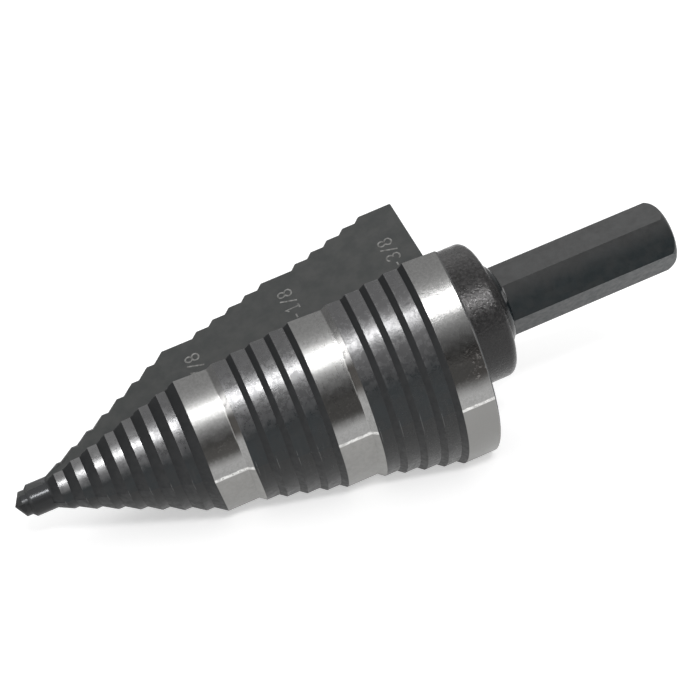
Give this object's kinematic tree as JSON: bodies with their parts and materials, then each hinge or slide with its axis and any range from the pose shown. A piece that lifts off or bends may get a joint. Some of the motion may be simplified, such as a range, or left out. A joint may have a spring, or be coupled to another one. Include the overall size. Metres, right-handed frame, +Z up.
{
  "type": "step drill",
  "caption": "One-piece stepped cone drill with straight flutes, a split pilot point, wide ground bands at the hole sizes, a collar and a hexagonal shank.",
  "frame": {"origin": "middle of the bounding box's underside, which is the surface the drill lies on", "axes": "+X from the point toward the shank end, along the surface; +Z up; one flute faces up and the other down, and the drill's own axis rises about nine degrees toward the shank"},
  "size_m": [0.0906, 0.035, 0.0306],
  "materials": {
    "tool_steel": "dark oxidised tool steel, ground bright on the wide bands"
  },
  "bodies": {
    "root": {"drill_body": "tool_steel"}
  },
  "joints": []
}
